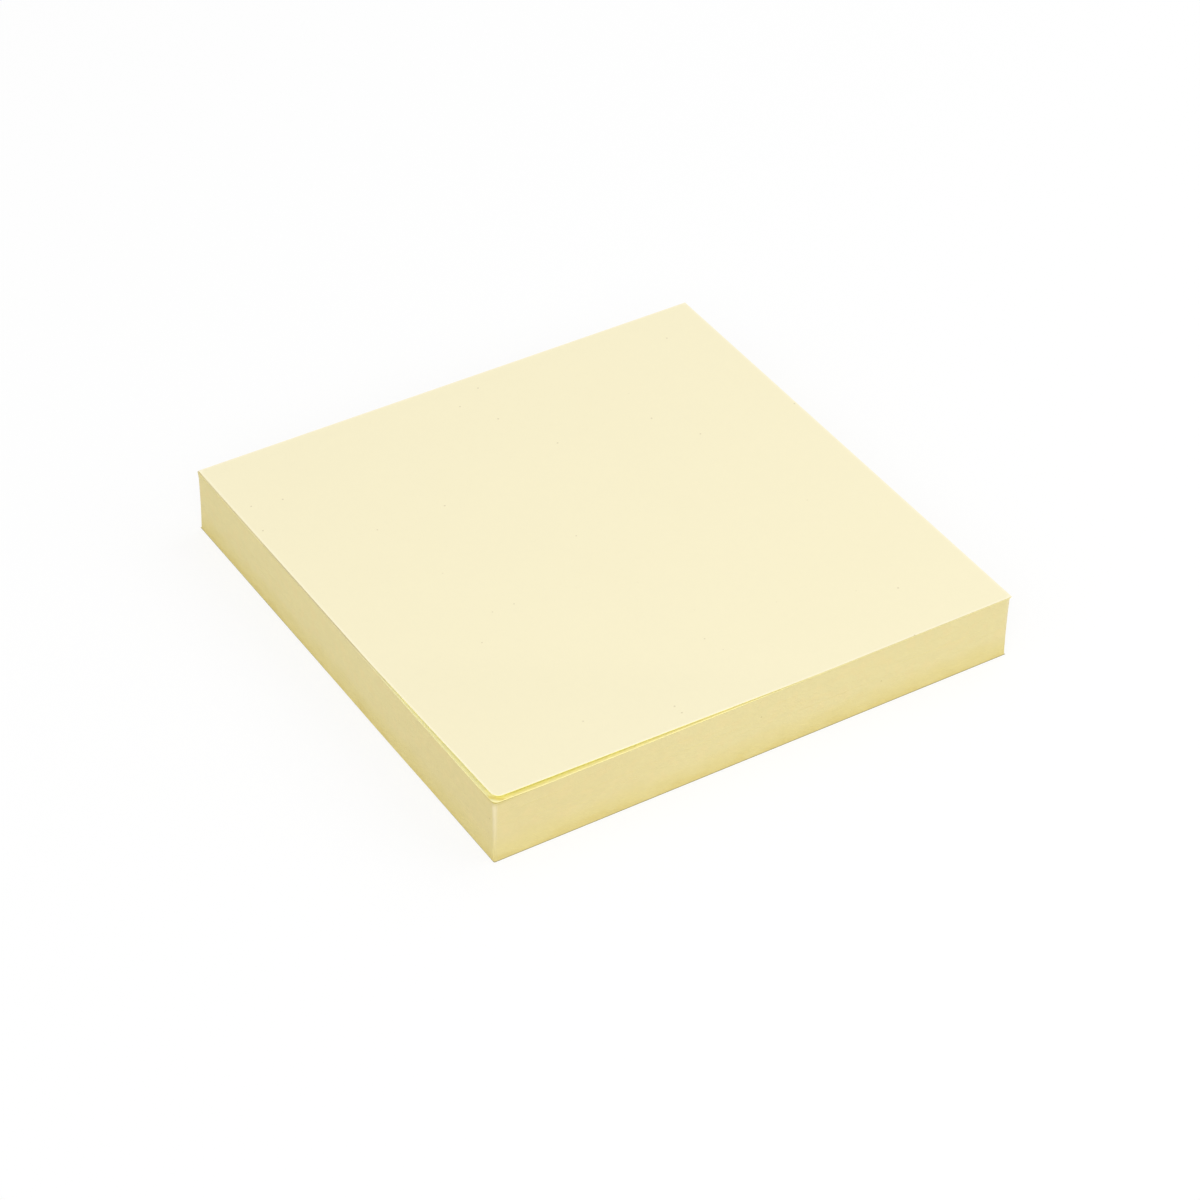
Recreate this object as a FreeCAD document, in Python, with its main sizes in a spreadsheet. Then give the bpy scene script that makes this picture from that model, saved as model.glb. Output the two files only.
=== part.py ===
import FreeCAD, Part
import math
import os
import Sketcher

# Square pad of self-stick notes on a backing sheet, glued along one edge.
# Millimetres, +Z up, origin at the centre of the underside. The glued edge is
# the one towards +Y, and the top two notes lift at the free corner at -X, -Y.

# Driving dimensions: name, value, what it measures
SIZES = (
    ("note_side", 76.0, "side of the square notes and of the backing"),
    ("note_thickness", 0.0925, "paper of one note"),
    ("closed_notes", 98, "notes pressed together below the two loose ones"),
    ("waist_inset", 0.06, "draw-in of the cut sides at half their height"),
    ("backing_thickness", 0.14, "backing sheet under the notes"),
    ("adhesive_thickness", 0.02, "film of adhesive under a note"),
    ("adhesive_depth", 17.0, "strip of adhesive, measured across the glued edge"),
    ("adhesive_margin", 1.0, "bare paper between the strip and the glued edge"),
    ("top_lift_front", 50.0, "lifted length of the top note's free edge"),
    ("top_lift_left", 32.0, "lifted length of the top note's left edge"),
    ("top_bend_radius", 85.0, "bend where the top note leaves the pad"),
    ("top_rise_angle", 2.1, "slope of the top note past its bend, in degrees"),
    ("top_tip_radius", 300.0, "upward curl at the top note's tip"),
    ("top_tip_reach", 4.2, "length of that curl"),
    ("top_tip_rounding", 1.1, "rounding of the top note's lifted corner"),
    ("top_aside", 0.15, "how far the top note lies towards +X of the notes below"),
    ("second_lift_front", 9.0, "lifted length of the second note's free edge"),
    ("second_lift_left", 6.0, "lifted length of the second note's left edge"),
    ("second_bend_radius", 50.0, "bend where the second note leaves the pad"),
    ("second_rise_angle", 2.5, "slope of the second note past its bend, in degrees"),
    ("second_tip_radius", 120.0, "upward curl at the second note's tip"),
    ("second_tip_reach", 2.0, "length of that curl"),
    ("second_tip_rounding", 0.8, "rounding of the second note's lifted corner"),
)
SIZE = {name: value for name, value, meaning in SIZES}

# The stack from the underside up: sub-part, thickness where it lies flat
STACK = (
    ("backing_sheet", "size.backing_thickness"),
    ("backing_adhesive", "size.adhesive_thickness"),
    ("note_block", "size.closed_notes * size.note_thickness"),
    ("second_note_adhesive", "size.adhesive_thickness"),
    ("second_note", "size.note_thickness"),
    ("top_note_adhesive", "size.adhesive_thickness"),
    ("top_note", "size.note_thickness"),
)
THICKNESS = dict(STACK)

# A note is bent as stock this many note sides long, then cut to its square
STOCK_SIDES = 2
# The stock runs this far past the note's tip
STOCK_OVERRUN = 2.0

# The ends and centre of a line or an arc, and a sketch's own origin
START, END, CENTRE = 1, 2, 3
ORIGIN = (-1, START)

doc = FreeCAD.newDocument("note_pad")


# Size sheet
def make_sheet():
    sheet = doc.addObject("Spreadsheet::Sheet", "size")
    for row, (name, value, meaning) in enumerate(SIZES, start=1):
        sheet.set("A%d" % row, name)
        sheet.set("B%d" % row, str(value))
        sheet.setAlias("B%d" % row, name)
        sheet.set("C%d" % row, meaning)
    doc.recompute()


# Bodies and sketches
def new_body(part):
    """Sub-part whose underside lies on everything below it in the stack.

    The top note lies a little aside, and its adhesive, which stays on it, too.
    """
    body = doc.addObject("PartDesign::Body", part)
    body.Label = part
    names = [name for name, thickness in STACK]
    below = [thickness for name, thickness in STACK[:names.index(part)]]
    body.setExpression("Placement.Base.z", " + ".join(below) or "0")
    if part.startswith("top_note"):
        body.setExpression("Placement.Base.x", "size.top_aside")
    return body


def new_sketch(body, name, plane="XY_Plane"):
    """Sketch on one of the body's own origin planes."""
    sketch = body.newObject("Sketcher::SketchObject", body.Label + "_" + name)
    support = [item for item in body.Origin.OriginFeatures if item.Role == plane]
    sketch.AttachmentSupport = [(support[0], "")]
    sketch.MapMode = "FlatFace"
    sketch.Visibility = False
    return sketch


def fix(sketch, kind, ends, name, start, expression):
    """Named constraint that begins at a number and then follows its expression."""
    index = sketch.addConstraint(Sketcher.Constraint(kind, *ends, start))
    sketch.renameConstraint(index, name)
    sketch.setExpression("Constraints." + name, expression)


def relate(sketch, kind, *ends):
    sketch.addConstraint(Sketcher.Constraint(kind, *ends))


def draw_line(sketch, start, end):
    line = Part.LineSegment(FreeCAD.Vector(*start, 0), FreeCAD.Vector(*end, 0))
    return sketch.addGeometry(line, False)


def draw_arc(sketch, centre, radius, first, last):
    """Arc about a centre, between two angles in radians."""
    circle = Part.Circle(FreeCAD.Vector(*centre, 0), FreeCAD.Vector(0, 0, 1), radius)
    return sketch.addGeometry(Part.ArcOfCircle(circle, first, last), False)


def draw_rectangle(sketch, name, west, east, south, north):
    """Rectangle whose sides lie at four expressions, measured from the origin."""
    half = SIZE["note_side"] / 2
    corners = [(-half, -half), (half, -half), (half, half), (-half, half)]
    lines = [draw_line(sketch, corners[i], corners[(i + 1) % 4]) for i in range(4)]
    bottom, right, top, left = lines
    for line, following in zip(lines, lines[1:] + lines[:1]):
        relate(sketch, "Coincident", line, END, following, START)
    for line in (bottom, top):
        relate(sketch, "Horizontal", line)
    for line in (right, left):
        relate(sketch, "Vertical", line)
    fix(sketch, "DistanceX", ORIGIN + (left, START), name + "_west", -half, west)
    fix(sketch, "DistanceX", ORIGIN + (right, START), name + "_east", half, east)
    fix(sketch, "DistanceY", ORIGIN + (bottom, START), name + "_south", -half, south)
    fix(sketch, "DistanceY", ORIGIN + (top, START), name + "_north", half, north)


def draw_square(sketch, name, half):
    """Square about the origin, from an expression for half its side."""
    minus = "-(%s)" % half
    draw_rectangle(sketch, name, minus, half, minus, half)


def draw_note_outline(sketch, note):
    """A note's square, with its lifted corner rounded."""
    half = SIZE["note_side"] / 2
    radius = SIZE[note + "_tip_rounding"]
    bottom = draw_line(sketch, (radius - half, -half), (half, -half))
    right = draw_line(sketch, (half, -half), (half, half))
    top = draw_line(sketch, (half, half), (-half, half))
    left = draw_line(sketch, (-half, half), (-half, radius - half))
    tip = draw_arc(sketch, (radius - half, radius - half), radius, math.pi, 1.5 * math.pi)
    relate(sketch, "Coincident", bottom, END, right, START)
    relate(sketch, "Coincident", right, END, top, START)
    relate(sketch, "Coincident", top, END, left, START)
    relate(sketch, "Tangent", left, END, tip, START)
    relate(sketch, "Tangent", tip, END, bottom, START)
    for line in (bottom, top):
        relate(sketch, "Horizontal", line)
    for line in (right, left):
        relate(sketch, "Vertical", line)
    fix(sketch, "DistanceX", ORIGIN + (left, START), "west", -half, "-size.note_side / 2")
    fix(sketch, "DistanceX", ORIGIN + (right, START), "east", half, "size.note_side / 2")
    fix(sketch, "DistanceY", ORIGIN + (bottom, END), "south", -half, "-size.note_side / 2")
    fix(sketch, "DistanceY", ORIGIN + (top, START), "north", half, "size.note_side / 2")
    fix(sketch, "Radius", (tip,), "rounding", radius, "size.%s_tip_rounding" % note)


# Flat pieces
def make_backing_sheet():
    body = new_body("backing_sheet")
    outline = new_sketch(body, "outline")
    draw_square(outline, "edge", "size.note_side / 2")
    pad = body.newObject("PartDesign::Pad", "backing_sheet_pad")
    pad.Profile = outline
    pad.setExpression("Length", THICKNESS["backing_sheet"])
    return body


def make_adhesive(part):
    """Film along the glued edge, under one note and as wide as the note."""
    body = new_body(part)
    strip = new_sketch(body, "strip")
    north = "size.note_side / 2 - size.adhesive_margin"
    south = north + " - size.adhesive_depth"
    draw_rectangle(strip, "strip", "-size.note_side / 2", "size.note_side / 2", south, north)
    pad = body.newObject("PartDesign::Pad", part + "_pad")
    pad.Profile = strip
    pad.setExpression("Length", THICKNESS[part])
    return body


# The closed notes as one solid, its four cut sides drawn in at half height
def make_note_block():
    body = new_body("note_block")
    full = "size.note_side / 2"
    waist = full + " - size.waist_inset"
    height = THICKNESS["note_block"]
    sections = []
    for name, share, half in (("foot", 0, full), ("waist", 0.5, waist), ("head", 1, full)):
        section = new_sketch(body, name)
        section.setExpression("AttachmentOffset.Base.z", "%s * %s" % (height, share))
        draw_square(section, name, half)
        sections.append(section)
    loft = body.newObject("PartDesign::AdditiveLoft", "note_block_loft")
    loft.Profile = sections[0]
    loft.Sections = sections[1:]
    loft.Ruled = False
    return body


# A loose note: flat on the pad, then bent up about a line across one corner
def crease_reach(note):
    """Distance from the crease to the note's tip, square to the crease."""
    front, left = SIZE[note + "_lift_front"], SIZE[note + "_lift_left"]
    number = front * left / math.hypot(front, left)
    words = "{0}_front * {0}_left / hypot({0}_front; {0}_left)".format("size.%s_lift" % note)
    return number, words


def draw_bent_section(sketch, note):
    """Section square to the crease: flat, bend, straight slope, curl at the tip.

    The sketch's origin is where the underside leaves the pad, and its first
    axis points at the tip. Both faces share the centres of the two arcs.
    """
    prefix = "size." + note
    paper = SIZE["note_thickness"]
    bend = SIZE[note + "_bend_radius"]
    curl = SIZE[note + "_tip_radius"]
    rise = math.radians(SIZE[note + "_rise_angle"])
    flat = SIZE["note_side"] * STOCK_SIDES
    reach, reach_words = crease_reach(note)
    slope_end = reach - SIZE[note + "_tip_reach"]
    stock_end = reach + STOCK_OVERRUN

    # Starting shape of the underside, from the crease to the end of the stock
    bend_end = (bend * math.sin(rise), bend * (1 - math.cos(rise)))
    slope_height = bend_end[1] + (slope_end - bend_end[0]) * math.tan(rise)
    curl_centre = (slope_end - curl * math.sin(rise), slope_height + curl * math.cos(rise))
    last = math.asin((stock_end - curl_centre[0]) / curl)

    def on_arc(centre, radius, angle):
        return centre[0] + radius * math.sin(angle), centre[1] - radius * math.cos(angle)

    faces = []
    down = -math.pi / 2
    for lift in (0.0, paper):
        bend_to = on_arc((0.0, bend), bend - lift, rise)
        slope_to = on_arc(curl_centre, curl - lift, rise)
        level = draw_line(sketch, (-flat, lift), (0.0, lift))
        first = draw_arc(sketch, (0.0, bend), bend - lift, down, down + rise)
        slope = draw_line(sketch, bend_to, slope_to)
        second = draw_arc(sketch, curl_centre, curl - lift, down + rise, down + last)
        relate(sketch, "Tangent", level, END, first, START)
        relate(sketch, "Tangent", first, END, slope, START)
        relate(sketch, "Tangent", slope, END, second, START)
        relate(sketch, "Horizontal", level)
        faces.append((level, first, slope, second))

    under, over = faces
    near = draw_line(sketch, (-flat, 0.0), (-flat, paper))
    tip_under = on_arc(curl_centre, curl, last)
    far = draw_line(sketch, tip_under, on_arc(curl_centre, curl - paper, last))
    relate(sketch, "Coincident", near, START, under[0], START)
    relate(sketch, "Coincident", near, END, over[0], START)
    relate(sketch, "Vertical", near)
    relate(sketch, "Perpendicular", under[3], END, far, START)
    relate(sketch, "Coincident", far, END, over[3], END)
    relate(sketch, "Coincident", under[1], CENTRE, over[1], CENTRE)
    relate(sketch, "Coincident", under[3], CENTRE, over[3], CENTRE)
    relate(sketch, "Parallel", under[2], over[2])
    relate(sketch, "Coincident", under[0], END, *ORIGIN)

    stock = "size.note_side * %d" % STOCK_SIDES
    slope_words = "%s - %s_tip_reach" % (reach_words, prefix)
    stock_words = "%s + %s" % (reach_words, STOCK_OVERRUN)
    fix(sketch, "Distance", (near,), "paper", paper, "size.note_thickness")
    fix(sketch, "Distance", (under[0],), "stock", flat, stock)
    fix(sketch, "Radius", (under[1],), "bend", bend, prefix + "_bend_radius")
    fix(sketch, "Radius", (under[3],), "curl", curl, prefix + "_tip_radius")
    fix(sketch, "Angle", (under[2],), "rise", rise, prefix + "_rise_angle * 1 deg")
    fix(sketch, "DistanceX", ORIGIN + (under[2], END), "slope_end", slope_end, slope_words)
    fix(sketch, "DistanceX", ORIGIN + (under[3], END), "stock_end", stock_end, stock_words)


def make_loose_note(note):
    part = note + "_note"
    prefix = "size.%s_lift" % note
    body = new_body(part)

    # Turned about the upright axis, so that the section faces the tip
    section = new_sketch(body, "section", "XZ_Plane")
    upright = FreeCAD.Vector(0, 1, 0)
    section.AttachmentOffset = FreeCAD.Placement(FreeCAD.Vector(), FreeCAD.Rotation(upright, 1))
    turn = "180 deg + atan2({0}_front; {0}_left)".format(prefix)
    section.setExpression("AttachmentOffset.Base.x", prefix + "_front - size.note_side / 2")
    section.setExpression("AttachmentOffset.Base.z", "size.note_side / 2")
    section.setExpression("AttachmentOffset.Rotation.Angle", turn)
    draw_bent_section(section, note)
    stock = body.newObject("PartDesign::Pad", part + "_stock")
    stock.Profile = section
    stock.SideType = "Symmetric"
    stock.setExpression("Length", "size.note_side * %d" % (2 * STOCK_SIDES))

    # Everything outside the note's square is cut away
    offcut = new_sketch(body, "offcut")
    draw_square(offcut, "stock", "size.note_side * %d" % (2 * STOCK_SIDES))
    draw_note_outline(offcut, note)
    trim = body.newObject("PartDesign::Pocket", part + "_trim")
    trim.Profile = offcut
    trim.SideType = "Symmetric"
    trim.Type = "ThroughAll"
    return body


# Failures that a recompute leaves behind
def check(bodies):
    faults = []
    for item in doc.Objects:
        if "Invalid" in item.State or "Error" in item.State:
            faults.append("%s: %s" % (item.Name, item.State))
        if item.TypeId == "Sketcher::SketchObject" and not item.FullyConstrained:
            faults.append("%s is not fully constrained" % item.Name)
    for body in bodies:
        if body.Shape.isNull() or not body.Shape.isValid():
            faults.append("%s has no valid shape" % body.Label)
        elif len(body.Shape.Solids) != 1:
            faults.append("%s has %d solids" % (body.Label, len(body.Shape.Solids)))
    if faults:
        raise RuntimeError("; ".join(faults))


make_sheet()
bodies = [
    make_backing_sheet(),
    make_adhesive("backing_adhesive"),
    make_note_block(),
    make_adhesive("second_note_adhesive"),
    make_loose_note("second"),
    make_adhesive("top_note_adhesive"),
    make_loose_note("top"),
]
doc.recompute()
check(bodies)

os.makedirs("parts", exist_ok=True)
for body in bodies:
    body.Shape.exportStep("parts/%s.step" % body.Label)
    box = body.Shape.BoundBox
    print("%-22s %10.3f mm3  z %.4f to %.4f" % (body.Label, body.Shape.Volume, box.ZMin, box.ZMax))
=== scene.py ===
import math
import random

import bpy
from mathutils import Matrix, Vector, noise


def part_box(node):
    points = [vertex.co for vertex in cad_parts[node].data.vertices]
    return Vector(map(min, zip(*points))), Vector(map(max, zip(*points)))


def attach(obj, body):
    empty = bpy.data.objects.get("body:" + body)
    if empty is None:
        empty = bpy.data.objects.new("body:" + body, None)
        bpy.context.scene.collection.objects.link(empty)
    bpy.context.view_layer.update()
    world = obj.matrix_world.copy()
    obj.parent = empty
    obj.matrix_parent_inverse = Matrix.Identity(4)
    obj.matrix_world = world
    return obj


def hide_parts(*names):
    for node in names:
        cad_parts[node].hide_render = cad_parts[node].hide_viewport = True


# A square pad of pale yellow self-stick notes, its top two notes lifting at one corner
# Metres throughout, +Y towards the glued edge, the lifted corner at -X -Y

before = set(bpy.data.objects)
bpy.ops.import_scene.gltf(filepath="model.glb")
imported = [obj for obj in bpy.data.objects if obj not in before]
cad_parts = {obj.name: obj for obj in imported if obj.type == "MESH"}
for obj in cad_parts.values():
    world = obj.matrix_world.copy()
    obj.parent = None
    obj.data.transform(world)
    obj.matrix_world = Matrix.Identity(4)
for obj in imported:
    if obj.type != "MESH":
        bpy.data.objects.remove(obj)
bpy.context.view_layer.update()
print("frame loaded:", ", ".join(sorted(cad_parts)))

mm = 0.001
white = (1, 1, 1, 1)


# Shader maths: a socket whose operators add their own nodes
class Wire:
    def __init__(self, tree, socket):
        self.tree = tree
        self.socket = socket

    def maths(self, operation, first, second):
        return self.tree.node("ShaderNodeMath", {"operation": operation}, {0: first, 1: second})

    def __add__(self, other):
        return self.maths("ADD", self, other)

    def __radd__(self, other):
        return self.maths("ADD", other, self)

    def __sub__(self, other):
        return self.maths("SUBTRACT", self, other)

    def __rsub__(self, other):
        return self.maths("SUBTRACT", other, self)

    def __mul__(self, other):
        return self.maths("MULTIPLY", self, other)

    def __rmul__(self, other):
        return self.maths("MULTIPLY", other, self)

    def atLeast(self, other):
        return self.maths("MAXIMUM", self, other)

    def size(self):
        return self.maths("ABSOLUTE", self, 0)

    # 0 below the first value, 1 above the second, smooth between them
    def rise(self, start, end):
        settings = {"interpolation_type": "SMOOTHSTEP"}
        values = {"Value": self, "From Min": start, "From Max": end}
        return self.tree.node("ShaderNodeMapRange", settings, values)


# The nodes of a material or of the world
class Finish:
    def __init__(self, owner):
        owner.use_nodes = True
        self.owner = owner
        self.nodes = owner.node_tree.nodes
        self.links = owner.node_tree.links
        self.nodes.clear()

    # Any node: its type, the settings it needs first, then its sockets' values or links
    def node(self, kind, settings=None, sockets=None, out=0):
        made = self.nodes.new(kind)
        for name, value in (settings or {}).items():
            setattr(made, name, value)
        for name, value in (sockets or {}).items():
            if isinstance(value, Wire):
                self.links.new(value.socket, made.inputs[name])
            else:
                made.inputs[name].default_value = value
        return Wire(self, made.outputs[out]) if made.outputs else made

    # Place on the piece in millimetres, stretched along each axis
    def place(self, stretch=(1, 1, 1)):
        spot = self.node("ShaderNodeTexCoord", out="Object")
        factors = [share / mm for share in stretch]
        return self.node("ShaderNodeVectorMath", {"operation": "MULTIPLY"}, {0: spot, 1: factors})

    def along(self, axis, vector=None):
        return self.node("ShaderNodeSeparateXYZ", {}, {0: vector or self.place()}, out=axis)

    # 1 on faces that look up, 0 on upright ones, -1 underneath
    def upward(self):
        return self.along("Z", self.node("ShaderNodeNewGeometry", out="Normal"))

    # Noise about 0, the size of its grain in millimetres
    def grain(self, size, detail=2.0, stretch=(1, 1, 1), roughness=0.5):
        values = {"Vector": self.place(stretch), "Scale": 1 / size}
        values.update({"Detail": detail, "Roughness": roughness})
        return self.node("ShaderNodeTexNoise", {}, values) - 0.5

    def mix(self, share, first, second):
        return self.node("ShaderNodeMix", {"data_type": "RGBA"}, {0: share, 6: first, 7: second}, out=2)

    # A colour made lighter or darker by a factor near 1
    def shade(self, colour, factor):
        colour = colour if isinstance(colour, Wire) else colour[:3]
        return self.node("ShaderNodeVectorMath", {"operation": "SCALE"}, {0: colour, "Scale": factor})

    # 1 where the camera sees this, straight or in a shiny or clear thing
    def shown(self):
        ways = ("Is Camera Ray", "Is Glossy Ray", "Is Transmission Ray")
        straight, mirrored, through = [self.node("ShaderNodeLightPath", out=way) for way in ways]
        return straight.atLeast(mirrored).atLeast(through)

    # 1 in sparse specks, where a face passes through the middle of a cell
    def specks(self, every, radius, scatter=0.8, core=0.5):
        cells = {"Vector": self.place(), "Scale": 1 / every, "Randomness": scatter}
        reach = self.node("ShaderNodeTexVoronoi", {}, cells, out="Distance") * every
        return 1 - reach.rise(core * radius, radius)

    def surface(self, sockets, relief, depth):
        sockets["Normal"] = self.node("ShaderNodeBump", {}, {"Height": relief, "Distance": depth})
        shader = self.node("ShaderNodeBsdfPrincipled", {}, sockets)
        self.node("ShaderNodeOutputMaterial", {}, {"Surface": shader})
        return self.owner


def newFinish(name):
    return Finish(bpy.data.materials.new(name))


# Faces that lie against another note are a deeper, brighter yellow than outer faces: partly the paper's
# own yellow, partly a painted glow of light through and between the sheets
# Widths and grains in millimetres, slopes as the upward part of a face's normal,
# pressedFrom as the share of the way from the lifted tip to where the top note closes
paperLook = {
    "outer": (0.912, 0.843, 0.583, 1),
    # A painted highlight on the outer face along its cut edges
    "rimHighlight": (0.955, 0.89, 0.655, 1),
    "rimHighlightWidth": 0.45,
    # Painted glow of light through and between the sheets, with the paper's own deeper yellow
    "inner": (0.985, 0.92, 0.36, 1),
    # Painted light on the bare strip of the note below, as if lit through the sheet above
    "litMargin": (1.0, 0.91, 0.49, 1),
    "litMarginWidth": 0.60,
    # Painted light along the left edge's bare strip
    "leftLitMargin": (1.0, 0.955, 0.58, 1),
    "leftLitWidth": 1.2,
    "fullShare": 0.3,
    # Painted shade right under the lifted tip
    "tipShade": (0.80, 0.68, 0.22, 1),
    "tipShadeStrength": 0.8,
    "tipShadeFrom": (0.8, 1.3),
    "tipShadeTo": (1.5, 2.1),
    "pressed": (0.70, 0.615, 0.39, 1),
    "pressedFrom": (0.62, 1.12),
    "edge": (1.0, 0.92, 0.52, 1),
    "speck": (0.50, 0.40, 0.22, 1),
    "speckStrength": 0.42,
    "specksEvery": 4.3,
    "speckRadius": 0.17,
    "cloudGrain": {"size": 9.0},
    "cloud": 0.012,
    "formationGrain": {"size": 1.1, "detail": 3.0, "roughness": 0.6},
    "formation": 0.016,
    "formationRelief": 0.6,
    "fibreGrain": {"size": 0.22, "stretch": (1, 0.35, 1), "roughness": 0.7},
    "fibre": 0.02,
    "fibreRoughness": 0.12,
    "edgeSlope": (-0.3, 0.3),
    "faceSlope": (0.5, 0.8),
    "roughness": 0.78,
    "specular": 0.3,
    "bumpDepth": 0.004 * mm,
}


def notePaper(name, isTop, tipRounding):
    look = paperLook
    made = newFinish(name)
    low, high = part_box("top_note" if isTop else "second_note")
    half, aside = (high.x - low.x) / 2 / mm, (high.x + low.x) / 2 / mm
    cloud = made.grain(**look["cloudGrain"])
    formation = made.grain(**look["formationGrain"])
    fibre = made.grain(**look["fibreGrain"])
    tone = 1.0 + cloud * look["cloud"] + formation * look["formation"] + fibre * look["fibre"]
    speck = made.specks(look["specksEvery"], look["speckRadius"])

    # Distance out towards the cut edge, round the rounded tip too
    easting, northing = made.along("X"), made.along("Y")
    across, along = (easting - aside).size(), northing.size()
    cutOff = (2 - math.sqrt(2)) * tipRounding / mm
    outermost = across.atLeast(along).atLeast(across + along + (cutOff - half))

    # Where the top note closes, the cut edges are as dull as those below
    frontLift, leftLift = topNoteShape["liftFront"] / mm, topNoteShape["liftLeft"] / mm
    closing = (easting + half) * (1 / frontLift) + (northing + half) * (1 / leftLift)
    pressed = closing.rise(*look["pressedFrom"])
    edge = made.mix(pressed, look["edge"], look["pressed"])

    # An outer face has a painted highlight along its outline; an inner one has the strip that the sheet
    # above leaves bare, painted lighter as if lit through that sheet
    if isTop:
        rimHighlight = outermost.rise(half - look["rimHighlightWidth"], half)
        upper = made.mix(rimHighlight, look["outer"], look["rimHighlight"])
    else:
        litStrip = made.mix(pressed, look["litMargin"], look["pressed"])
        width, full = look["litMarginWidth"], look["fullShare"]
        litMargin = outermost.rise(half - width, half - full * width)
        upper = made.mix(litMargin, look["inner"], litStrip)

        # Painted light along the left edge, and painted shade right under the lifted tip
        paler = made.mix(pressed, look["leftLitMargin"], look["pressed"])
        width = look["leftLitWidth"]
        leftLitShare = (0 - easting).rise(half - width, half - full * width)
        upper = made.mix(leftLitShare, upper, paler)
        inward = easting + northing + 2 * half
        tipShade = inward.rise(*look["tipShadeFrom"]) * (1 - inward.rise(*look["tipShadeTo"]))
        upper = made.mix(tipShade * look["tipShadeStrength"], upper, look["tipShade"])
    upward = made.upward()
    face = made.mix(upward.rise(*look["edgeSlope"]), look["inner"], edge)
    face = made.mix(upward.rise(*look["faceSlope"]), face, upper)
    # Undersides take the inner colour, with its painted glow
    face = made.mix((0 - upward).rise(*look["faceSlope"]), face, look["inner"])
    face = made.mix(speck * look["speckStrength"], face, look["speck"])
    return made.surface({
        "Base Color": made.shade(face, tone),
        "Roughness": look["roughness"] + fibre * look["fibreRoughness"],
        "Specular IOR Level": look["specular"],
    }, fibre + formation * look["formationRelief"], look["bumpDepth"])


# Heights as shares of the stack, from its foot
edgeLook = {
    "face": (0.69, 0.597, 0.30, 1),
    "farFace": (0.71, 0.628, 0.328, 1),
    # Painted shade near the floor, deepest at the very foot
    "low": (0.692, 0.600, 0.272, 1),
    "lowShadeHeight": (0.10, 0.45),
    "footShade": (0.67, 0.565, 0.228, 1),
    "footShadeHeight": (0.0, 0.13),
    # Painted shade: the stack's upper face, seen in the gap under the lifted notes
    "top": (0.74, 0.65, 0.29, 1),
    "topSlope": (0.6, 0.9),
    "noteGrain": {"size": 0.10, "detail": 1.0, "stretch": (0.004, 0.004, 1)},
    "noteTone": 0.012,
    "streakGrain": {"size": 0.35, "detail": 3.0, "stretch": (0.05, 0.05, 1), "roughness": 0.6},
    "streak": 0.006,
    "patchGrain": {"size": 3.5, "detail": 3.0, "stretch": (1, 1, 1.8)},
    "patch": 0.03,
    "patchReach": 0.3,
    "knifeGrain": {"size": 0.5, "stretch": (1, 1, 0.03)},
    "knife": 0.012,
    "knifeRelief": 0.5,
    "warm": (0.75, 0.61, 0.31, 1),
    "warmGrain": {"size": 1.5},
    "warmFrom": (-0.05, 0.2),
    "warmShare": 0.3,
    "speckleGrain": {"size": 0.8, "detail": 4.0, "stretch": (0.8, 0.8, 1), "roughness": 0.7},
    "speckle": 0.09,
    "speck": (0.42, 0.33, 0.14, 1),
    "speckStrength": 0.5,
    "specksEvery": 4.0,
    "speckRadius": 0.15,
    "cornerWidth": 0.7,
    "cornerFullShare": 0.3,
    "cornerPale": (0.73, 0.645, 0.40, 1),
    "cornerPaleHeight": (0.1, 0.8),
    "markGrain": {"size": 0.13, "detail": 1.0, "stretch": (1, 1, 0.03)},
    "mark": 0.22,
    "markRelief": 2,
    "roughness": 0.85,
    "specular": 0.25,
    "bumpDepth": 0.006 * mm,
}


def cutEdges():
    look = edgeLook
    made = newFinish("cut note edges")
    low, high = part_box("note_block")
    half = high.x / mm
    rank = (made.along("Z") - low.z / mm) * (mm / (high.z - low.z))
    perNote = made.grain(**look["noteGrain"])
    streak = made.grain(**look["streakGrain"])
    patch = made.grain(**look["patchGrain"])
    knife = made.grain(**look["knifeGrain"])
    speckle = made.grain(**look["speckleGrain"])
    tone = 1.0 + perNote * look["noteTone"] + streak * look["streak"] + speckle * look["speckle"]
    tone = tone + patch * look["patch"] + knife * look["knife"]

    # Paler away from the lifted corner, yellower towards the foot as painted shade near the floor
    easting, northing = made.along("X"), made.along("Y")
    away = (easting + northing).rise(-2 * half, -half)
    face = made.mix(away, look["face"], look["farFace"])
    warmth = made.grain(**look["warmGrain"]).rise(*look["warmFrom"])
    face = made.mix(warmth * look["warmShare"], face, look["warm"])
    band = rank + patch * look["patchReach"]
    face = made.mix(band.rise(*look["lowShadeHeight"]), look["low"], face)
    face = made.mix(band.rise(*look["footShadeHeight"]), look["footShade"], face)
    speck = made.specks(look["specksEvery"], look["speckRadius"])
    face = made.mix(speck * look["speckStrength"], face, look["speck"])

    # Crushed and paler along the upright corners
    inward = 2 * half - easting.size() - northing.size()
    width = look["cornerWidth"]
    corner = 1 - inward.rise(look["cornerFullShare"] * width, width)
    mark = made.grain(**look["markGrain"]) * corner
    tone = tone + mark * look["mark"]
    face = made.mix(corner * rank.rise(*look["cornerPaleHeight"]), face, look["cornerPale"])
    # Upward faces take the top colour, painted shade under the lifted notes
    face = made.mix(made.upward().rise(*look["topSlope"]), face, look["top"])
    return made.surface({
        "Base Color": made.shade(face, tone),
        "Roughness": look["roughness"],
        "Specular IOR Level": look["specular"],
    }, streak + knife * look["knifeRelief"] + mark * look["markRelief"], look["bumpDepth"])


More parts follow.
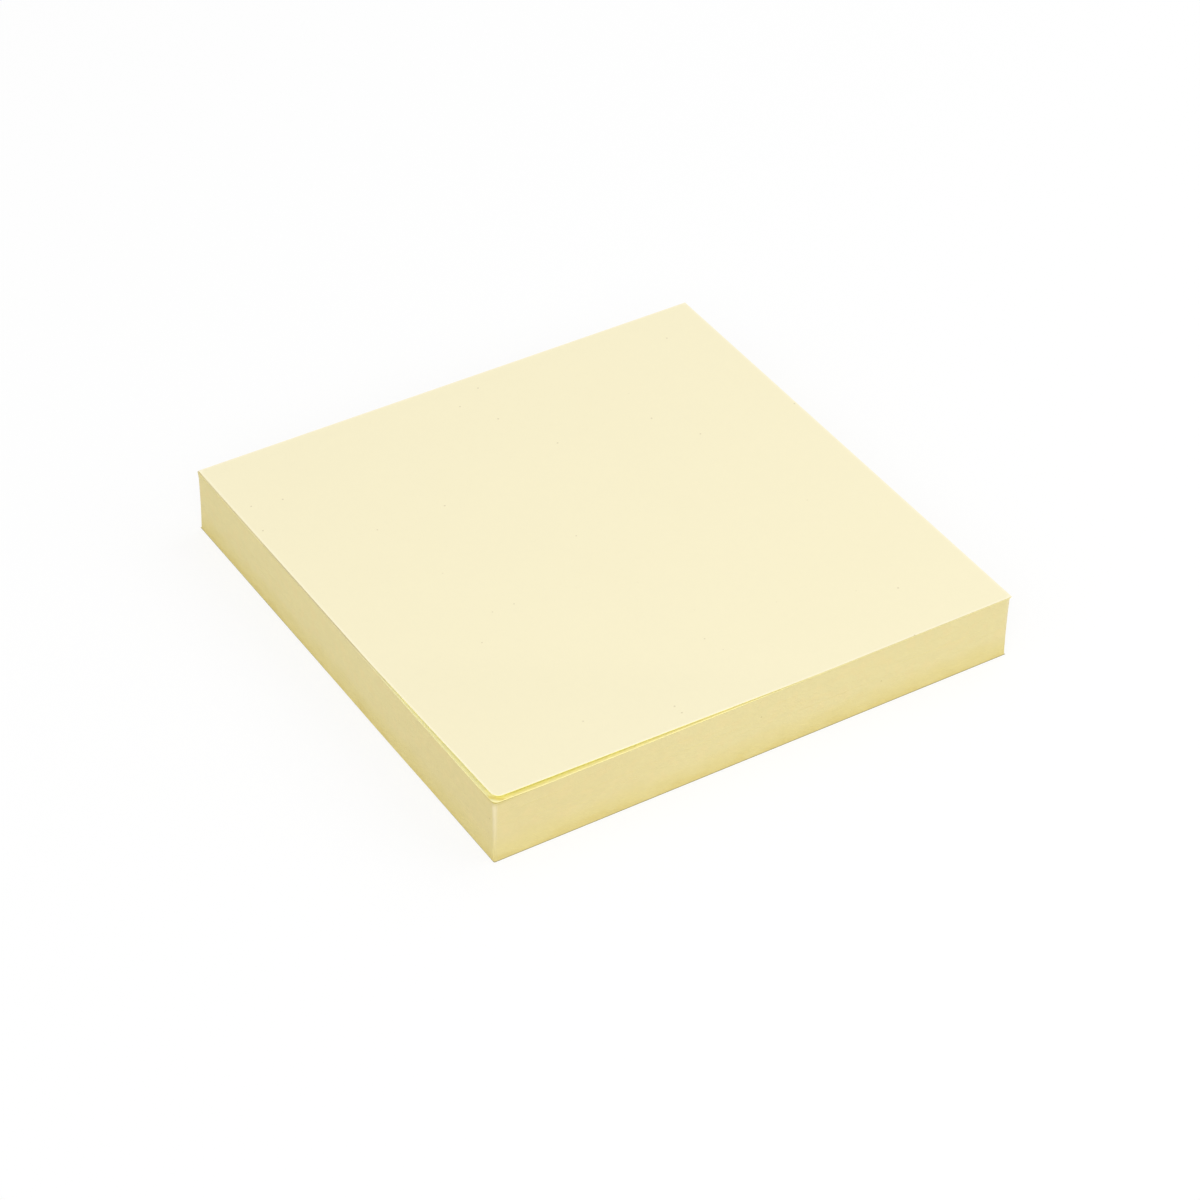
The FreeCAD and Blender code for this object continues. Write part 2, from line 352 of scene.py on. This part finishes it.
backingLook = {
    "face": (0.80, 0.74, 0.50, 1),
    # The backing's own cut edge, painted dark as shade along the pad's foot
    "edge": (0.36, 0.31, 0.12, 1),
    "faceFrom": (0.2, 0.6),
    "formationGrain": {"size": 1.4, "detail": 3.0, "roughness": 0.6},
    "formation": 0.03,
    "formationRoughness": 0.1,
    "fibreGrain": {"size": 0.25, "stretch": (0.4, 1, 1)},
    "fibre": 0.03,
    "roughness": 0.5,
    "bumpDepth": 0.003 * mm,
}


def backingPaper():
    look = backingLook
    made = newFinish("backing paper")
    upward = made.upward()
    formation = made.grain(**look["formationGrain"])
    fibre = made.grain(**look["fibreGrain"])
    # The cut edge's dark colour is painted shade along the foot
    face = made.mix((upward * upward).rise(*look["faceFrom"]), look["edge"], look["face"])
    tone = 1.0 + formation * look["formation"] + fibre * look["fibre"]
    return made.surface({
        "Base Color": made.shade(face, tone),
        "Roughness": look["roughness"] + formation * look["formationRoughness"],
    }, fibre + formation, look["bumpDepth"])


adhesiveLook = {
    "film": (0.86, 0.82, 0.58, 1),
    "beadSize": 0.12,
    "beadTone": 0.05,
    "smearGrain": {"size": 2.5},
    "smearTone": 0.05,
    "smearRoughness": 0.2,
    "roughness": 0.35,
    "bumpDepth": 0.006 * mm,
}


def adhesiveFilm():
    look = adhesiveLook
    made = newFinish("adhesive film")
    cells = {"Vector": made.place(), "Scale": 1 / look["beadSize"]}
    bead = 1 - made.node("ShaderNodeTexVoronoi", {}, cells, out="Distance")
    smear = made.grain(**look["smearGrain"])
    tone = 1.0 + bead * look["beadTone"] + smear * look["smearTone"]
    return made.surface({
        "Base Color": made.shade(look["film"], tone),
        "Roughness": look["roughness"] + smear * look["smearRoughness"],
    }, bead, look["bumpDepth"])


def newPiece(name, points, faces, finish, replaces):
    mesh = bpy.data.meshes.new(name)
    mesh.from_pydata(points, [], faces)
    mesh.validate()
    piece = bpy.data.objects.new(name, mesh)
    bpy.context.scene.collection.objects.link(piece)
    mesh.materials.append(finish)
    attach(piece, "root")
    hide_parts(replaces)
    print("made", name, len(faces), "faces")
    return piece


# A loose sheet: flat, or bent up about a line across its corner at -X -Y
topNoteShape = {
    "liftFront": 50 * mm,
    "liftLeft": 32 * mm,
    "bendRadius": 85 * mm,
    "riseAngle": 2.1,
    "tipRadius": 300 * mm,
    "tipReach": 4.2 * mm,
    "tipRounding": 1.1 * mm,
    "wave": 0.02 * mm,
    "waveLength": 21 * mm,
    "lip": 0.014 * mm,
}
secondNoteShape = {
    "liftFront": 9 * mm,
    "liftLeft": 6 * mm,
    "bendRadius": 50 * mm,
    "riseAngle": 2.5,
    "tipRadius": 120 * mm,
    "tipReach": 2 * mm,
    "tipRounding": 0.8 * mm,
    "wave": 0.004 * mm,
    "waveLength": 17 * mm,
    "lip": 0.014 * mm,
}
backingShape = {
    "tipRounding": 0.2 * mm,
    "wave": 0.0,
    "waveLength": 30 * mm,
    "lip": 0.02 * mm,
}
sheetGrid = {
    "tipPoints": 4,
    "growth": 1.35,
    "borderWidth": 2.5 * mm,
    "middlePoints": 60,
    "lipShares": (0.22, 0.78),
    "sharpAngle": 40,
    "waveStart": 0.5,
    "wavePattern": 0.3,
}


# Height and slope of a bent sheet's underside at a distance past its crease
def bendAt(shape, past, reach):
    if past <= 0:
        return 0.0, 0.0
    rise = math.radians(shape["riseAngle"])
    bend = shape["bendRadius"]
    slopeStart = bend * math.sin(rise)
    bendHeight = bend * (1 - math.cos(rise))
    if past < slopeStart:
        angle = math.asin(past / bend)
        return bend * (1 - math.cos(angle)), angle
    slopeEnd = reach - shape["tipReach"]
    if past < slopeEnd:
        return bendHeight + (past - slopeStart) * math.tan(rise), rise
    curl = shape["tipRadius"]
    height = bendHeight + (slopeEnd - slopeStart) * math.tan(rise)
    angle = math.asin(min(1.0, (past - slopeEnd) / curl + math.sin(rise)))
    return height + curl * (math.cos(rise) - math.cos(angle)), angle


# Places along one side: close together near both ends
def gridLine(half, rounding):
    grid = sheetGrid
    steps = [rounding * i / grid["tipPoints"] for i in range(grid["tipPoints"] + 1)]
    step = rounding
    while steps[-1] < grid["borderWidth"]:
        step = step * grid["growth"]
        steps.append(steps[-1] + step)
    count = grid["middlePoints"]
    first, last = steps[-1], 2 * half - steps[-1]
    middle = [first + (last - first) * i / count for i in range(1, count)]
    ends = [2 * half - value for value in reversed(steps)]
    return [value - half for value in steps + middle + ends]


# A sheet's thickness, from its far edge, which isn't lifted
def sheetThickness(node):
    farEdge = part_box(node)[1].y - mm
    heights = [v.co.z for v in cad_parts[node].data.vertices if v.co.y > farEdge]
    return max(heights) - min(heights)


def looseSheet(name, node, shape, finish):
    low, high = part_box(node)
    half = (high.x - low.x) / 2
    aside = (high.x + low.x) / 2
    thickness = sheetThickness(node)
    line = gridLine(half, shape["tipRounding"])
    count = len(line)
    centre = shape["tipRounding"] - half
    lifted = "riseAngle" in shape
    if lifted:
        front, left = shape["liftFront"], shape["liftLeft"]
        span = math.hypot(front, left)
        towards = Vector((-left / span, -front / span, 0))
        reach = front * left / span
        creaseEnd = Vector((front - half, -half, 0))

    # Square grid to the note's outline, whose lifted corner is rounded
    def outline(i, j):
        x, y = line[i], line[j]
        dx, dy = x - centre, y - centre
        if dx < 0 and dy < 0:
            share = max(-dx, -dy) / math.hypot(dx, dy)
            return centre + dx * share, centre + dy * share
        return x, y

    # Never below the flat sheet, and none near the glued edge
    def wave(x, y):
        size = shape["waveLength"]
        free = min(1.0, max(0.0, (half * sheetGrid["waveStart"] - y) / half))
        swell = noise.noise(Vector((x / size, y / size, sheetGrid["wavePattern"])))
        return shape["wave"] * free * (0.5 + 0.5 * swell)

    def spot(x, y, through):
        height = low.z + wave(x, y)
        if not lifted:
            return Vector((x + aside, y, height + through * thickness))
        past = (Vector((x, y, 0)) - creaseEnd).dot(towards)
        lift, angle = bendAt(shape, past, reach)
        normal = Vector((0, 0, math.cos(angle))) - towards * math.sin(angle)
        return Vector((x + aside, y, height + lift)) + normal * (through * thickness)

    border = [(i, 0) for i in range(count)]
    border += [(count - 1, j) for j in range(1, count)]
    border += [(i, count - 1) for i in range(count - 2, -1, -1)]
    border += [(0, j) for j in range(count - 2, 0, -1)]
    edge = {key: number for number, key in enumerate(border)}

    def outward(i, j):
        number = edge[(i, j)]
        before = outline(*border[number - 1])
        after = outline(*border[(number + 1) % len(border)])
        along = Vector((after[0] - before[0], after[1] - before[1], 0)).normalized()
        return Vector((along.y, -along.x, 0))

    points, faces = [], []
    for through in (0.0, 1.0):
        for j in range(count):
            for i in range(count):
                x, y = outline(i, j)
                if (i, j) in edge:
                    back = outward(i, j) * shape["lip"]
                    x, y = x - back.x, y - back.y
                points.append(spot(x, y, through))
    for side in range(2):
        for j in range(count - 1):
            for i in range(count - 1):
                corner = side * count * count + j * count + i
                ring = [corner, corner + 1, corner + count + 1, corner + count]
                faces.append(ring if side else ring[::-1])

    # Cut edge: two rings between the faces, a lip's width further out
    rings = [[j * count + i for i, j in border]]
    for through in sheetGrid["lipShares"]:
        rings.append(list(range(len(points), len(points) + len(border))))
        points += [spot(*outline(i, j), through) for i, j in border]
    rings.append([count * count + j * count + i for i, j in border])
    for lower, upper in zip(rings, rings[1:]):
        for k in range(len(border)):
            following = (k + 1) % len(border)
            faces.append([lower[k], lower[following], upper[following], upper[k]])
    piece = newPiece(name, points, faces, finish, node)
    piece.data.shade_smooth()
    piece.data.set_sharp_from_angle(angle=math.radians(sheetGrid["sharpAngle"]))


# The closed notes as one shell, whose sides show every note's cut edge
stackShape = {
    "notes": 98,
    "pointsPerSide": 40,
    "endsCloser": 0.65,
    "cornerRadius": 0.35 * mm,
    "cornerPoints": 6,
    "groove": 0.012 * mm,
    "gluedGroove": 0.006 * mm,
    "topGrooveShare": 0.3,
    "lipShare": 0.2,
    "waist": 0.06 * mm,
    "slip": 0.014 * mm,
    "driftShare": 0.7,
    "driftEvery": 4.8,
    "driftPatterns": (3.1, 8.7),
    "ripple": 0.010 * mm,
    "rippleLength": 9 * mm,
    "rippleEvery": 2.5,
    "bow": 0.10 * mm,
    "bowAt": -11 * mm,
    "bowLength": 18 * mm,
    "flare": 0.06 * mm,
    "flareHeight": 1.5 * mm,
    "cornerGap": 0.05 * mm,
    "cornerGapReach": 7 * mm,
    "cornerGapNotes": 3,
    "cornerGroove": 10,
    "seed": 11,
}


# Once round the stack: place and outward direction
def stackOutline(half):
    shape = stackShape
    radius = shape["cornerRadius"]
    perSide = shape["pointsPerSide"]
    closer = shape["endsCloser"]
    ring = []
    for turn in range(4):
        quarter = turn * math.pi / 2
        out = Vector((math.cos(quarter), math.sin(quarter), 0))
        along = Vector((-out.y, out.x, 0))
        for i in range(perSide):
            share = i / (perSide - 1)
            eased = 0.5 - 0.5 * math.cos(math.pi * share)
            step = ((1 - closer) * share + closer * eased) * 2 - 1
            ring.append((out * half + along * step * (half - radius), out))
        centre = (out + along) * (half - radius)
        for i in range(1, shape["cornerPoints"]):
            angle = quarter + i / shape["cornerPoints"] * math.pi / 2
            facing = Vector((math.cos(angle), math.sin(angle), 0))
            ring.append((centre + facing * radius, facing))
    return ring


# Each note lies a little off its neighbours
def noteSlips(count):
    shape = stackShape
    chance = random.Random(shape["seed"])
    share = shape["driftShare"]
    slips = []
    for k in range(count):
        at = k / shape["driftEvery"]
        x, y = [noise.noise(Vector((at, pattern, 0))) for pattern in shape["driftPatterns"]]
        drift = Vector((x, y, 0))
        jitter = Vector((chance.uniform(-1, 1), chance.uniform(-1, 1), 0))
        slips.append((drift * share + jitter * (1 - share)) * shape["slip"])
    return slips


def noteStack(finish):
    shape = stackShape
    low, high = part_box("note_block")
    half = (high.x - low.x) / 2
    count = shape["notes"]
    thickness = (high.z - low.z) / count
    outline = stackOutline(half)
    slips = noteSlips(count)

    def side(spot, facing, level, k, inset):
        rank = (level - low.z) / (high.z - low.z)
        size = shape["rippleLength"]
        waist = shape["waist"] * 4 * rank * (1 - rank)
        wander = noise.noise(Vector((spot.x / size, spot.y / size, k / shape["rippleEvery"])))
        fade = math.exp(-((spot.y - shape["bowAt"]) / shape["bowLength"]) ** 2)
        towardsLeft = max(0.0, -facing.x)
        bow = shape["bow"] * fade * (1 - rank) ** 2 * towardsLeft
        lifted = max(0.0, 1 - (high.z - level) / shape["flareHeight"])
        flare = shape["flare"] * lifted ** 2 * max(0.0, spot.y / half) * towardsLeft
        return spot + facing * (wander * shape["ripple"] + bow + flare - waist - inset) + slips[k]

    # The uppermost notes part a little at the lifted corner
    def cornerOpening(spot, k):
        away = math.hypot(spot.x + half, spot.y + half)
        near = max(0.0, 1 - away / shape["cornerGapReach"])
        return near ** 2 * max(0.0, 1 - (count - 1 - k) / shape["cornerGapNotes"])

    points, rings = [], []

    def addRing(level, k, inset, deeper=0):
        rings.append(list(range(len(points), len(points) + len(outline))))
        for spot, facing in outline:
            opening = cornerOpening(spot, k)
            glued = max(0.0, facing.y)
            groove = inset * (1 - glued * (1 - shape["gluedGroove"] / shape["groove"]))
            moved = side(spot, facing, level, k, groove * (1 + deeper * opening))
            moved.z = level + shape["cornerGap"] * opening
            points.append(moved)

    lip = shape["lipShare"] * thickness
    for k in range(count):
        foot = low.z + k * thickness
        addRing(foot, k, shape["groove"] if k else 0.0, deeper=shape["cornerGroove"])
        addRing(foot + lip, k, 0.0)
        addRing(foot + thickness - lip, k, 0.0)
    addRing(high.z, count - 1, shape["topGrooveShare"] * shape["groove"])

    faces = []
    for lower, upper in zip(rings, rings[1:]):
        for i in range(len(outline)):
            following = (i + 1) % len(outline)
            faces.append([lower[i], lower[following], upper[following], upper[i]])
    faces.append(rings[0][::-1])
    faces.append(rings[-1])
    newPiece("note_stack", points, faces, finish, "note_block")


cameraView = {
    "lens": 115.98,
    "nearest": 10 * mm,
    "azimuth": -32.69,
    "elevation": 38.937,
    "roll": 1.157,
    "distance": 500.45 * mm,
    "aside": 0.479 * mm,
    "above": -4.97 * mm,
    "aimHeight": 4.725 * mm,
}


def addCamera():
    view = cameraView
    azimuth, elevation = math.radians(view["azimuth"]), math.radians(view["elevation"])
    roll = math.radians(view["roll"])
    flat = Vector((math.sin(azimuth), -math.cos(azimuth), 0))
    back = flat * math.cos(elevation) + Vector((0, 0, math.sin(elevation)))
    level = Vector((0, 0, 1)).cross(back).normalized()
    upright = back.cross(level)
    right = level * math.cos(roll) + upright * math.sin(roll)
    up = upright * math.cos(roll) - level * math.sin(roll)
    aim = Vector((0, 0, view["aimHeight"]))
    lens = bpy.data.cameras.new("camera")
    lens.lens = view["lens"]
    lens.clip_start = view["nearest"]
    camera = bpy.data.objects.new("camera", lens)
    camera.matrix_world = Matrix((right, up, back)).transposed().to_4x4()
    camera.matrix_world.translation = (
        aim + back * view["distance"] + right * view["aside"] + up * view["above"]
    )
    bpy.context.scene.collection.objects.link(camera)
    bpy.context.scene.camera = camera


studio = {
    "sky": 0.60,
    "floorColour": (0.97, 0.97, 0.97, 1),
    "floorWhite": 0.80,
    "floorSide": 6.0,
    "lamps": {
        "over": {"place": (0.5, 0.05, 0.6), "size": 0.6, "power": 1.24},
        "front": {"place": (0.6, -0.6, 0.35), "size": 0.6, "power": 1.4},
        "left": {"place": (-1.3, -0.2, 0.55), "size": 1.2, "power": 3.0},
        "near": {"place": (-0.54, -0.84, 0.81), "size": 0.8, "power": 5.8},
    },
}


# Even light from all round, which itself shows as white
def addSky():
    world = bpy.data.worlds.new("studio")
    bpy.context.scene.world = world
    made = Finish(world)
    strength = studio["sky"] + made.shown() * (1 - studio["sky"])
    sky = made.node("ShaderNodeBackground", {}, {"Color": white, "Strength": strength})
    made.node("ShaderNodeOutputWorld", {}, {"Surface": sky})


# A pale floor that shows as white, apart from part of the pad's shadow
def addFloor():
    half = studio["floorSide"] / 2
    corners = [(-half, -half, 0), (half, -half, 0), (half, half, 0), (-half, half, 0)]
    mesh = bpy.data.meshes.new("floor")
    mesh.from_pydata(corners, [], [(0, 1, 2, 3)])
    floor = bpy.data.objects.new("floor", mesh)
    bpy.context.scene.collection.objects.link(floor)
    made = newFinish("floor")
    share = made.shown() * studio["floorWhite"]
    matte = made.node("ShaderNodeBsdfDiffuse", {}, {"Color": studio["floorColour"]})
    bright = made.node("ShaderNodeEmission", {}, {"Color": white, "Strength": 1.0})
    both = made.node("ShaderNodeMixShader", {}, {0: share, 1: matte, 2: bright})
    made.node("ShaderNodeOutputMaterial", {}, {"Surface": both})
    mesh.materials.append(made.owner)


def addLamps():
    for name, lamp in studio["lamps"].items():
        light = bpy.data.lights.new(name, "AREA")
        light.size = lamp["size"]
        light.energy = lamp["power"]
        holder = bpy.data.objects.new(name, light)
        holder.location = lamp["place"]
        holder.rotation_euler = (-Vector(lamp["place"])).to_track_quat("-Z", "Y").to_euler()
        bpy.context.scene.collection.objects.link(holder)


addCamera()
addSky()
addFloor()
addLamps()
bpy.context.scene.view_settings.view_transform = "Standard"
print("camera and studio ready")

topPaper = notePaper("outer note paper", True, topNoteShape["tipRounding"])
litStripPaper = notePaper("inner note paper", False, secondNoteShape["tipRounding"])
looseSheet("top_note_sheet", "top_note", topNoteShape, topPaper)
looseSheet("second_note_sheet", "second_note", secondNoteShape, litStripPaper)
noteStack(cutEdges())
looseSheet("backing", "backing_sheet", backingShape, backingPaper())
film = adhesiveFilm()
for node in ("backing_adhesive", "second_note_adhesive", "top_note_adhesive"):
    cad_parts[node].data.materials.clear()
    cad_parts[node].data.materials.append(film)
print("finished the adhesive films")
